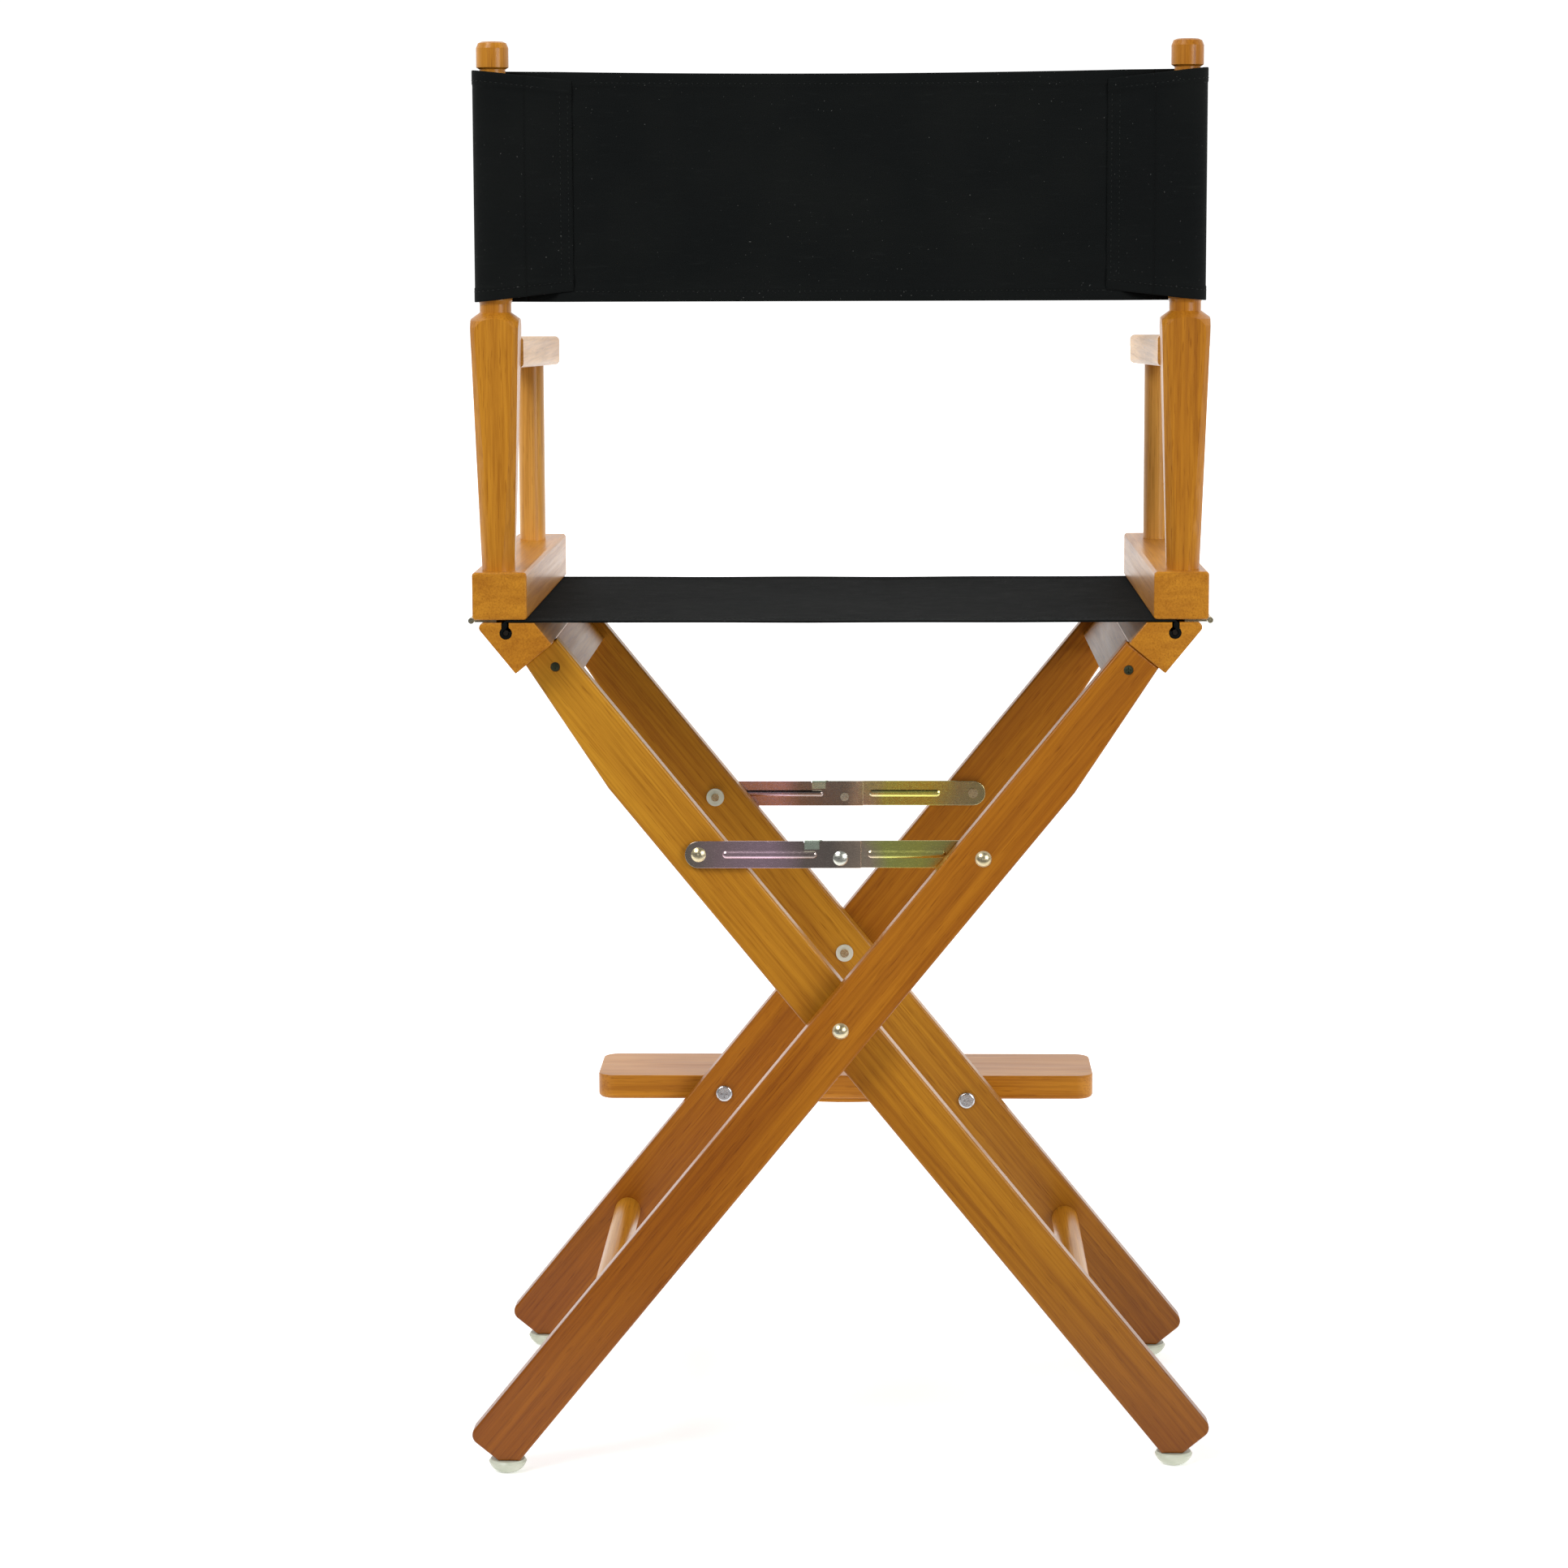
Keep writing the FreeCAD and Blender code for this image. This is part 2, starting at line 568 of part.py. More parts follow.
def back_post(sign):
    """A tapered square post turned round at both ends, with the round tenon that carries the canvas."""
    profile = [
        (0, 715),
        (TENON_R, 715),
        (TENON_R, 740),
        (13.4, 740),
        (24.4, 928),
        (24.0, 933),
        (21.5, 938),
        (16.0, 942),
        (12.5, 944.5),
        (12.5, 951),
        (13.5, 954),
        (13.5, 960),
        (10.75, 1129),
        (10.2, 1131),
        (10.2, 1134),
        (12.75, 1135.5),
        (12.75, 1150.5),
        (11.2, 1154.3),
        (8.5, 1155.5),
        (0, 1155.5),
    ]
    points = [FreeCAD.Vector(r, 0, z) for r, z in profile]
    face = Part.Face(Part.makePolygon(points + points[:1]))
    turned = face.revolve(FreeCAD.Vector(0, 0, 0), FreeCAD.Vector(0, 0, 1), 360)
    taper = tapered_square(700, 11.7, 1160, 11.7 + (POST_HALF_WIDTH - 11.7) * 460 / 240)
    post = turned.common(taper)
    post.translate(FreeCAD.Vector(sign * POST_X, BACK_POST_Y, 0))
    return post.cut(arm_dowel(sign))


def arm_board_blank(sign):
    """The board rests on the front post and meets the back post's front face, slightly higher there."""
    y0, y1 = ARM_BOARD_Y
    front_z, rear_z = ARM_BOARD_BOTTOM_Z
    x0, x1 = sorted((sign * ARM_BOARD_X[0], sign * ARM_BOARD_X[1]))
    side_view = [
        FreeCAD.Vector(x0, y0, front_z),
        FreeCAD.Vector(x0, y1, rear_z),
        FreeCAD.Vector(x0, y1, rear_z + ARM_BOARD_THICK),
        FreeCAD.Vector(x0, y0, front_z + ARM_BOARD_THICK),
    ]
    face = Part.Face(Part.makePolygon(side_view + side_view[:1]))
    board = face.extrude(FreeCAD.Vector(x1 - x0, 0, 0))
    board = board.makeFillet(4.0, [edge for edge in board.Edges if along_y(edge)])
    return with_eased_rim(board, (y0,), 3.0)


def arm_dowel(sign):
    y = ARM_BOARD_Y[1]
    return rod_y(sign * POST_X, ARM_BOARD_BOTTOM_Z[1] + 12.0, 4.0, y - 22, y + 14)


def front_post_pin(sign):
    return rod_z(sign * POST_X, FRONT_POST_Y, TENON_R, 880, 905)


def arm_board(sign):
    return arm_board_blank(sign).cut(arm_dowel(sign)).cut(front_post_pin(sign))


def front_post(sign):
    post = rod_z(sign * POST_X, FRONT_POST_Y, FRONT_POST_R, 740, 897)
    post = post.cut(arm_board_blank(sign))
    foot = rod_z(sign * POST_X, FRONT_POST_Y, TENON_R, 715, 745)
    return post.fuse([foot, front_post_pin(sign)]).removeSplitter()


# ---- canvas ----
def seat_canvas():
    z0 = SEAT_CANVAS_Z
    z1 = z0 + CANVAS
    sheet = box(-SLOT_X[1] + 0.8, SLOT_X[1] - 0.8, -RAIL_HALF_DEPTH, RAIL_HALF_DEPTH, z0, z1)
    pieces = []
    for sign in (-1, 1):
        x0, x1 = sorted((sign * (SLOT_X[0] + 0.8), sign * (SLOT_X[1] - 0.8)))
        pieces.append(box(x0, x1, -RAIL_HALF_DEPTH, RAIL_HALF_DEPTH, KEYHOLE_Z + 3, z0 + 0.5))
        hem_r = SEAT_ROD_R + CANVAS
        pieces.append(rod_y(sign * KEYHOLE_X, KEYHOLE_Z, hem_r, -RAIL_HALF_DEPTH, RAIL_HALF_DEPTH))
    canvas = sheet.fuse(pieces).removeSplitter()
    for sign in (-1, 1):
        canvas = canvas.cut(rod_y(sign * KEYHOLE_X, KEYHOLE_Z, SEAT_ROD_R, -210, 210))
    return canvas


def drop_shape(sign, radius, tip_x, z0, z1):
    """A sleeve's outline: a circle about the post drawn out to a point at the stitch line."""
    centre_x = sign * POST_X
    reach = math.hypot(centre_x - tip_x, BACK_POST_Y - PANEL_Y)
    turn = math.acos(radius / reach)
    heading = math.atan2(PANEL_Y - BACK_POST_Y, tip_x - centre_x)
    tip = FreeCAD.Vector(tip_x, PANEL_Y, z0)
    tangents = [
        FreeCAD.Vector(
            centre_x + radius * math.cos(heading + spread),
            BACK_POST_Y + radius * math.sin(heading + spread),
            z0,
        )
        for spread in (turn, -turn)
    ]
    corners = [tip, tangents[0], FreeCAD.Vector(centre_x, BACK_POST_Y, z0), tangents[1]]
    wedge = Part.Face(Part.makePolygon(corners + corners[:1])).extrude(FreeCAD.Vector(0, 0, z1 - z0))
    return wedge.fuse(rod_z(centre_x, BACK_POST_Y, radius, z0, z1)).removeSplitter()


def back_canvas():
    z0, z1 = BACK_CANVAS_Z
    half = CANVAS / 2
    canvas = box(-STITCH_X, STITCH_X, PANEL_Y - half, PANEL_Y + half, z0, z1)
    for sign in (-1, 1):
        outer = drop_shape(sign, SLEEVE_R, sign * (STITCH_X - 6), z0, z1)
        inner = drop_shape(sign, SLEEVE_R - CANVAS, sign * STITCH_X, z0 - 1, z1 + 1)
        canvas = canvas.fuse(outer).cut(inner)
    return canvas.removeSplitter()


# ---- writing the pieces ----
def pair(make, *arguments):
    """The rear and the front copy of a piece, as separate solids in one node."""
    return Part.makeCompound([make(*arguments, facing) for facing in REAR_AND_FRONT])


def main():
    os.makedirs("parts", exist_ok=True)
    for side in ("a", "b"):
        save("leg_" + side + "_rear", leg(side, 1))
        save("leg_" + side + "_front", leg(side, -1))
        save("seat_rail_" + side, seat_rail(side).cut(hinge_screws(side, False)))
        save("stretcher_" + side, stretcher(side))
        save("glides_" + side, pair(glide, side))
        save("leg_screws_" + side, pair(leg_screw, side))
        save("brace_bolts_" + side, pair(brace_bolt, side))
        save("brace_spacers_" + side, pair(brace_spacer, side))
        save("hinge_lower_" + side, hinge_leaf(side, False))
        save("hinge_screws_lower_" + side, hinge_screws(side, False))
        save("hinge_upper_" + side, hinge_leaf(side, True))
        save("hinge_screws_upper_" + side, hinge_screws(side, True))
        pin_x = SIDE_X[side] * HINGE_X
        save("hinge_pin_" + side, rod_y(pin_x, HINGE_Z, HINGE_PIN_R, -HINGE_HALF_DEPTH, HINGE_HALF_DEPTH))
        rod_x = SIDE_X[side] * KEYHOLE_X
        save("seat_rod_" + side, rod_y(rod_x, KEYHOLE_Z, SEAT_ROD_R, -RAIL_HALF_DEPTH, RAIL_HALF_DEPTH))
        for name, facing in (("rear", 1), ("front", -1)):
            save("brace_link_" + name + "_" + side, brace_link(side, facing))
            save("brace_rivet_" + name + "_" + side, rivet_half(side, facing))
    save("brace_nuts", pair(brace_nut))
    save("pivot_bolts", pair(pivot_bolt))
    save("pivot_spacers", pair(pivot_spacer))
    save("pivot_washers", pair(pivot_washer))
    save("footrest_board", footrest_board())
    save("footrest_bolt", pan_bolt("a", -DEPTHS["a"][0], -244.0))
    save("footrest_spacer", footrest_spacer())
    save("peg_bolt", pan_bolt("b", -DEPTHS["b"][0], PEG_END_Y))
    save("peg_sleeve", peg_sleeve())
    for name, sign in (("right", -1), ("left", 1)):
        save("arm_rail_" + name, arm_rail(sign))
        save("back_post_" + name, back_post(sign))
        save("front_post_" + name, front_post(sign))
        save("arm_board_" + name, arm_board(sign))
        save("arm_dowel_" + name, arm_dowel(sign))
    save("seat_canvas", seat_canvas())
    save("back_canvas", back_canvas())


main()
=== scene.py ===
"""Looks of a folding director chair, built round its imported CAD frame.  Metres, +Z up, chair faces -Y."""
import math

import bpy
from mathutils import Matrix, Vector


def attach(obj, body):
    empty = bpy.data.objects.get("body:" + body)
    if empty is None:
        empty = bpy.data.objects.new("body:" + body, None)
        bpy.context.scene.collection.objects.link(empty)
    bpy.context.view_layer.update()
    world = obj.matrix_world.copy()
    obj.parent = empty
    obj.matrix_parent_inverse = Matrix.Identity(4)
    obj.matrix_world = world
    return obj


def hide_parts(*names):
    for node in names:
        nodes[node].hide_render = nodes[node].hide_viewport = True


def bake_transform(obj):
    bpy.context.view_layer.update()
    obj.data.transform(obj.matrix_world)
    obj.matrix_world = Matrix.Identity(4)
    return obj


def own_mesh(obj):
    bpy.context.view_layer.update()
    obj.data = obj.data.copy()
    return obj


# Every depth below is worked out from the middle of the seat rails.
RAIL_MIDDLE_Y = 0.0495

# ---- camera ----
CAMERA_PLACE = Vector((-0.0342, RAIL_MIDDLE_Y + 3.4086, 1.0145))
CAMERA_YAW = math.radians(1.41)
CAMERA_PITCH = math.radians(7.88)
CAMERA_ROLL = math.radians(-0.20)
CAMERA_LENS = 93.2
SENSOR_WIDTH = 36.0

# ---- stage ----
FLOOR_SIZE = 60
FLOOR_FADE = (-1.5, 0.85)
FLOOR_GLOW = 0.80
WORLD_FADE = (-0.20, 0.50)
WORLD_STRENGTH = (1.08, 0.17)
LIGHT_AIM = (0, 0, 0.7)
LIGHT_SIZE = 1.6
LIGHTS = {"key": ((1.7, 2.5, 2.9), 78), "fill": ((-2.2, 2.6, 1.4), 52)}

# ---- wood ----
LEG_ANGLE = math.radians(50.8)
BRACE_HALF = 0.130
GRAIN_ALONG_X = (0.0, 0.0, 0.0)
GRAIN_ALONG_Y = (0.0, 0.0, -math.pi / 2)
GRAIN_ALONG_Z = (0.0, math.pi / 2, 0.0)
GRAIN_ALONG_LEG_A = (0.0, math.pi - LEG_ANGLE, 0.0)
GRAIN_ALONG_LEG_B = (0.0, LEG_ANGLE, 0.0)
# Light and dark tone of each kind of board; the legs are multiplied by a painted shade near the floor,
# darker towards the feet.
HONEY = ((0.620, 0.270, 0.024), (0.480, 0.185, 0.014))
AMBER = ((0.500, 0.190, 0.012), (0.380, 0.125, 0.007))
STRAW = ((0.590, 0.275, 0.022), (0.470, 0.190, 0.012))
PALE = ((0.800, 0.430, 0.100), (0.640, 0.300, 0.050))
# Painted shade: how dark each kind of leg is made at the floor, fading out higher up.
FOOT_SHADE_TONES = {"a": (0.52, 0.40, 0.12), "b": (0.36, 0.23, 0.04)}
DARK = ((0.016, 0.013, 0.010), (0.010, 0.009, 0.008))

# ---- back canvas ----
POST_X = 0.2725
POST_Y = RAIL_MIDDLE_Y + 0.179
SLEEVE_R = 0.0156
PANEL_Y = RAIL_MIDDLE_Y + 0.177
SEAM_X = 0.222
FLAP_EDGE_X = 0.2105
SLEEVE_END_X = 0.2475
STITCH_COLUMNS = (0.2138, 0.2200)
BACK_BOTTOM = 0.9525
BACK_TOP = 1.1300
BACK_CORNER_RISE = 0.0035
BACK_CORNER_X = 0.289
FLAP_TOP_DROP = 0.0067
FLAP_BOTTOM_RISE = 0.0085
CLOTH_HALF = 0.0005
LAYER_GAP = 0.0002
ON_SEAM = 0.0002
AT_EDGE = 0.0003
WEAVE_PITCH = 0.0013
HEM_EXTRA = 0.0004
BACK_HEM = 0.011
HEM_STITCH = 0.008
BACK_DENT = 0.00015
BACK_ROUNDING = 0.0004
STITCH_PITCH = 0.0042
STITCH_LENGTH = 0.0030
THREAD_HALF = 0.00042
PUCKER_X = 0.205
PUCKER_REACH = 0.030

# ---- seat canvas ----
KEYHOLE_X = 0.2655
KEYHOLE_Z = 0.6915
ROD_LOOP_R = 0.0034
HOOK_HALF = 0.0014
CLIMB_HALF = 0.0021
SEAT_Z = 0.7009
SEAT_SAG = 0.0004
SEAT_FRONT_Y = RAIL_MIDDLE_Y - 0.203
SEAT_REAR_Y = RAIL_MIDDLE_Y + 0.203
SEAT_HEM = 0.019
SEAT_STITCH = 0.0168
SEAT_HEM_EXTRA = 0.0003
SEAT_DENT = 0.0002
SEAT_ROUNDING = 0.0003
SEAT_FREE_X = 0.245
SEAT_SEAM_X = 0.262
SEAT_EDGE_X = 0.2600
SEAT_DIP = 0.0012
SEAT_DIP_REACH = 0.09

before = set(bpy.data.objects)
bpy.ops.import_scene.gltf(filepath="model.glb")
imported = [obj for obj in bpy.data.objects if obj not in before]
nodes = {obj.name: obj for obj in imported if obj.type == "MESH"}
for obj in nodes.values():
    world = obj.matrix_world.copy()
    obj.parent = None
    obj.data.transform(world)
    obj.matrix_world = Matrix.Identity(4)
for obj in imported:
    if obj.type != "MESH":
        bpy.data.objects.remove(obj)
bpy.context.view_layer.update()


# ---- materials ----
class Shader:
    """A node material being put together, in the object's own coordinates."""

    def __init__(self, name):
        self.material = bpy.data.materials.new(name)
        self.material.use_nodes = True
        self.tree = self.material.node_tree
        self.surface = self.tree.nodes["Principled BSDF"]
        self.place = self.tree.nodes.new("ShaderNodeTexCoord").outputs["Object"]

    def fix(self, **values):
        """Sets sockets of the surface that are the same all over it."""
        for name, value in values.items():
            self.surface.inputs[name.replace("_", " ")].default_value = value

    def drive(self, socket, source):
        self.tree.links.new(source, self.surface.inputs[socket])

    def mapped(self, vector, turn=(0, 0, 0), scale=(1, 1, 1), shift=(0, 0, 0)):
        node = self.tree.nodes.new("ShaderNodeMapping")
        node.inputs["Rotation"].default_value = turn
        node.inputs["Scale"].default_value = scale
        node.inputs["Location"].default_value = shift
        self.tree.links.new(vector, node.inputs["Vector"])
        return node.outputs["Vector"]

    def noise(self, vector, scale=1.0, detail=2.0, roughness=0.5, distortion=0.0):
        node = self.tree.nodes.new("ShaderNodeTexNoise")
        node.inputs["Scale"].default_value = scale
        node.inputs["Detail"].default_value = detail
        node.inputs["Roughness"].default_value = roughness
        node.inputs["Distortion"].default_value = distortion
        self.tree.links.new(vector, node.inputs["Vector"])
        return node.outputs["Fac"]

    def ramp(self, factor, stops):
        """Colours (or greys, given as one number) at places along a factor."""
        node = self.tree.nodes.new("ShaderNodeValToRGB")
        elements = node.color_ramp.elements
        while len(elements) < len(stops):
            elements.new(1.0)
        for element, (at, colour) in zip(elements, stops):
            grey = isinstance(colour, (int, float))
            element.position = at
            element.color = (colour, colour, colour, 1) if grey else (*colour, 1)
        self.tree.links.new(factor, node.inputs["Fac"])
        return node.outputs["Color"]

    def mix(self, factor, first, second, blend="MIX"):
        node = self.tree.nodes.new("ShaderNodeMix")
        node.data_type = "RGBA"
        node.blend_type = blend
        for index, value in ((0, factor), (6, first), (7, second)):
            if isinstance(value, (int, float)):
                node.inputs[index].default_value = value
            elif isinstance(value, tuple):
                node.inputs[index].default_value = (*value, 1)
            else:
                self.tree.links.new(value, node.inputs[index])
        return node.outputs[2]

    def math(self, operation, first, second=0.0):
        node = self.tree.nodes.new("ShaderNodeMath")
        node.operation = operation
        for index, value in enumerate((first, second)):
            if isinstance(value, (int, float)):
                node.inputs[index].default_value = value
            else:
                self.tree.links.new(value, node.inputs[index])
        return node.outputs["Value"]

    def axes(self, vector):
        node = self.tree.nodes.new("ShaderNodeSeparateXYZ")
        self.tree.links.new(vector, node.inputs["Vector"])
        return node.outputs

    def bump(self, height, distance, strength=1.0, under=None):
        node = self.tree.nodes.new("ShaderNodeBump")
        node.inputs["Strength"].default_value = strength
        node.inputs["Distance"].default_value = distance
        self.tree.links.new(height, node.inputs["Height"])
        if under is not None:
            self.tree.links.new(under, node.inputs["Normal"])
        return node.outputs["Normal"]


def wood(name, turn, light, dark, seed, foot_shade=None):
    """Lacquered wood, grain along one axis, between two tones, with painted shade darkening it near the
    floor if asked.
    """
    s = Shader(name)
    grain = s.mapped(s.place, turn=turn)
    shift = (seed * 0.37, seed * 1.13, seed * 0.71)
    board = s.noise(s.mapped(grain, scale=(1.8, 13, 13), shift=shift), detail=2, distortion=0.5)
    bands = s.noise(s.mapped(grain, scale=(3.2, 30, 110), shift=shift), detail=3, distortion=0.9)
    streak = s.noise(s.mapped(grain, scale=(2.0, 30, 30), shift=shift), detail=4, distortion=1.2)
    fibre = s.noise(s.mapped(grain, scale=(11, 620, 620), shift=shift), detail=3, roughness=0.6)
    pores = s.noise(s.mapped(grain, scale=(46, 900, 900), shift=shift), detail=1)
    white = (1.0, 1.0, 1.0)
    colour = s.mix(s.ramp(board, [(0.30, 0.0), (0.70, 1.0)]), dark, light)
    for share, layer, low, tone, high in (
        (0.65, bands, 0.32, (0.70, 0.60, 0.46), 0.60),
        (0.60, fibre, 0.32, (0.66, 0.56, 0.42), 0.58),
        (0.50, pores, 0.26, (0.46, 0.32, 0.20), 0.37),
    ):
        colour = s.mix(share, colour, s.ramp(layer, [(low, tone), (high, white)]), "MULTIPLY")
    flame = s.ramp(streak, [(0.56, white), (0.80, (0.62, 0.46, 0.34))])
    colour = s.mix(0.50, colour, flame, "MULTIPLY")
    # Painted shade: the colour darkens towards the floor, standing in for the feet getting less light.
    if foot_shade is not None:
        height = s.axes(s.place)["Z"]
        colour = s.mix(1.0, colour, s.ramp(height, [(0.0, foot_shade), (0.38, white)]), "MULTIPLY")
    s.drive("Base Color", colour)
    s.drive("Roughness", s.ramp(bands, [(0.3, 0.40), (0.7, 0.30)]))
    relief = s.bump(pores, 0.00012, 0.5)
    s.drive("Normal", s.bump(fibre, 0.00010, 0.6, under=relief))
    s.fix(Coat_Weight=0.18, Coat_Roughness=0.18, Specular_IOR_Level=0.20)
    return s.material


def canvas(name, across, up, gloss):
    """Black cotton canvas: a plain weave along two axes, slubs, and a little lint."""
    s = Shader(name)
    places = s.axes(s.place)
    turns_per_metre = 2 * math.pi / WEAVE_PITCH
    warp = s.math("SINE", s.math("MULTIPLY", places[across], turns_per_metre))
    weft = s.math("SINE", s.math("MULTIPLY", places[up], turns_per_metre))
    weave = s.math("MULTIPLY", warp, weft)
    slub = s.noise(s.mapped(s.place, scale=(60, 60, 420)), detail=3, roughness=0.6)
    worn = s.noise(s.place, scale=14, detail=3)
    lint = s.noise(s.place, scale=520, detail=1)
    patches = s.ramp(worn, [(0.35, 0.0), (0.7, 1.0)])
    colour = s.mix(patches, (0.0056, 0.0066, 0.0066), (0.0074, 0.0084, 0.0080))
    colour = s.mix(s.ramp(slub, [(0.62, 0.0), (0.85, 0.4)]), colour, (0.014, 0.016, 0.015))
    colour = s.mix(s.ramp(lint, [(0.765, 0.0), (0.80, 0.7)]), colour, (0.10, 0.10, 0.095))
    s.drive("Base Color", colour)
    s.drive("Roughness", s.ramp(slub, [(0.2, 0.95), (0.8, 0.80)]))
    relief = s.bump(slub, 0.0002, 0.35)
    s.drive("Normal", s.bump(weave, 0.00012, 0.45, under=relief))
    s.fix(Sheen_Weight=gloss * 0.5, Sheen_Roughness=0.5, Specular_IOR_Level=gloss)
    return s.material


def thread(name):
    """Black sewing thread."""
    s = Shader(name)
    twist = s.noise(s.place, scale=900, detail=1)
    s.drive("Base Color", s.ramp(twist, [(0.3, (0.008, 0.009, 0.009)), (0.7, (0.018, 0.020, 0.019))]))
    s.fix(Roughness=0.6, Specular_IOR_Level=0.2)
    return s.material


def plated(name, stops, roughness):
    """Plated steel whose tint wanders between the given colours."""
    s = Shader(name)
    drift = s.noise(s.mapped(s.place, scale=(1.0, 1.0, 2.2)), scale=38, detail=2, distortion=1.4)
    scuff = s.noise(s.mapped(s.place, scale=(1, 1, 6)), scale=420, detail=3)
    s.drive("Base Color", s.ramp(drift, stops))
    s.drive("Roughness", s.ramp(scuff, [(0.3, roughness - 0.07), (0.75, roughness + 0.12)]))
    s.drive("Normal", s.bump(scuff, 0.00006, 0.4))
    s.fix(Metallic=1.0)
    return s.material


def chromate(name, stops):
    """Chromated steel whose tint changes along the brace, from -X to +X, with small drifts."""
    s = Shader(name)
    along = s.math("MULTIPLY", s.math("ADD", s.axes(s.place)["X"], BRACE_HALF), 0.5 / BRACE_HALF)
    drift = s.math("MULTIPLY", s.math("SUBTRACT", s.noise(s.place, scale=24, detail=1), 0.5), 0.22)
    scuff = s.noise(s.mapped(s.place, scale=(1, 1, 5)), scale=380, detail=3)
    spots = s.ramp(s.noise(s.place, scale=900, detail=2), [(0.66, 0.0), (0.74, 0.5)])
    tint = s.ramp(s.math("ADD", along, drift), stops)
    s.drive("Base Color", s.mix(spots, tint, (0.72, 0.66, 0.58)))
    s.drive("Roughness", s.ramp(scuff, [(0.3, 0.17), (0.75, 0.30)]))
    s.drive("Normal", s.bump(scuff, 0.00004, 0.35))
    s.fix(Metallic=1.0)
    return s.material


def plastic(name):
    """Off-white glides, a little scuffed."""
    s = Shader(name)
    cloudy = s.noise(s.place, scale=90, detail=3)
    scuffs = s.noise(s.mapped(s.place, scale=(1, 1, 4)), scale=700, detail=2)
    s.drive("Base Color", s.ramp(cloudy, [(0.3, (0.46, 0.49, 0.38)), (0.7, (0.56, 0.58, 0.48))]))
    s.drive("Roughness", s.ramp(scuffs, [(0.3, 0.28), (0.7, 0.46)]))
    s.drive("Normal", s.bump(scuffs, 0.00005, 0.3))
    s.fix(Specular_IOR_Level=0.5)
    return s.material


def paint(material, *names):
    """Gives CAD nodes a material; their mesh and place stay as they are."""
    for name in names:
        slots = nodes[name].material_slots
        if not slots:
            nodes[name].data.materials.append(material)
        for slot in slots:
            slot.material = material


def paint_wood():
    paint(wood("leg_a_wood", GRAIN_ALONG_LEG_A, *AMBER, 1, FOOT_SHADE_TONES["a"]), "leg_a_rear", "leg_a_front")
    paint(wood("leg_b_wood", GRAIN_ALONG_LEG_B, *STRAW, 2, FOOT_SHADE_TONES["b"]), "leg_b_rear", "leg_b_front")
    for index, side in enumerate(("a", "b")):
        rail = wood("seat_rail_wood_" + side, GRAIN_ALONG_Y, *HONEY, 3 + index)
        paint(rail, "seat_rail_" + side)
        dowel = wood("stretcher_wood_" + side, GRAIN_ALONG_Y, *STRAW, 5 + index)
        paint(dowel, "stretcher_" + side)
        paint(wood("seat_rod_wood_" + side, GRAIN_ALONG_Y, *DARK, 17 + index), "seat_rod_" + side)
    for index, side in enumerate(("right", "left")):
        paint(wood("arm_rail_wood_" + side, GRAIN_ALONG_Y, *HONEY, 7 + index), "arm_rail_" + side)
        paint(wood("arm_board_wood_" + side, GRAIN_ALONG_Y, *PALE, 9 + index), "arm_board_" + side)
        post = wood("post_wood_" + side, GRAIN_ALONG_Z, *HONEY, 11 + index)
        paint(post, "back_post_" + side, "arm_dowel_" + side)
        paint(wood("front_post_wood_" + side, GRAIN_ALONG_Z, *PALE, 13 + index), "front_post_" + side)
    paint(wood("footrest_wood", GRAIN_ALONG_X, *HONEY, 15), "footrest_board")


def paint_hardware():
    olive_to_rose = [
        (0.10, (0.62, 0.56, 0.30)),
        (0.22, (0.92, 0.90, 0.22)),
        (0.36, (0.86, 0.90, 0.26)),
        (0.43, (0.84, 0.66, 0.52)),
        (0.50, (0.42, 0.36, 0.32)),
        (0.64, (0.46, 0.37, 0.34)),
        (0.74, (0.88, 0.62, 0.76)),
        (0.86, (0.72, 0.52, 0.56)),
        (0.98, (0.44, 0.42, 0.32)),
    ]
    # Link A ends in a pale, near-white green where its lug is: the green is the chromate's tint, and the
    # pallor is a painted highlight on the lug.
    olive_to_green_lit_lug = olive_to_rose[:4] + [(0.50, (0.72, 0.80, 0.56)), (0.58, (0.86, 1.0, 0.82))]
    brassy = [(0.3, (0.62, 0.52, 0.30)), (0.6, (0.80, 0.70, 0.46)), (0.8, (0.60, 0.60, 0.50))]
    zinc = [(0.3, (0.56, 0.58, 0.62)), (0.7, (0.76, 0.78, 0.80))]
    links = {
        "a": chromate("chromate_steel_a", olive_to_green_lit_lug),
        "b": chromate("chromate_steel_b", olive_to_rose),
    }
    yellow = plated("yellow_zinc", brassy, 0.26)
    bright = plated("bright_zinc", zinc, 0.22)
    silver = plated("rivet_zinc", [(0.3, (0.78, 0.80, 0.70)), (0.7, (0.92, 0.92, 0.84))], 0.24)
    pale = plated("pale_zinc", [(0.3, (0.74, 0.80, 0.66)), (0.7, (0.88, 0.90, 0.80))], 0.46)
    # The leg screws are painted near-black: painted shade of the counterbores they sit in.
    shaded_screw = plated("screw_zinc_painted_shade", [(0.3, (0.09, 0.10, 0.06)), (0.7, (0.18, 0.20, 0.12))], 0.34)
    glides = plastic("glide_plastic")
    for side in ("a", "b"):
        for end in ("rear", "front"):
            paint(links[side], "brace_link_" + end + "_" + side)
            paint(silver, "brace_rivet_" + end + "_" + side)
        paint(shaded_screw, "leg_screws_" + side)
        for name in ("brace_bolts_", "brace_spacers_", "hinge_lower_", "hinge_upper_"):
            paint(yellow, name + side)
        for name in ("hinge_pin_", "hinge_screws_lower_", "hinge_screws_upper_"):
            paint(yellow, name + side)
        paint(glides, "glides_" + side)
    paint(yellow, "pivot_bolts", "pivot_spacers")
    paint(pale, "brace_nuts", "pivot_washers")
    paint(bright, "footrest_bolt", "footrest_spacer", "peg_bolt", "peg_sleeve")


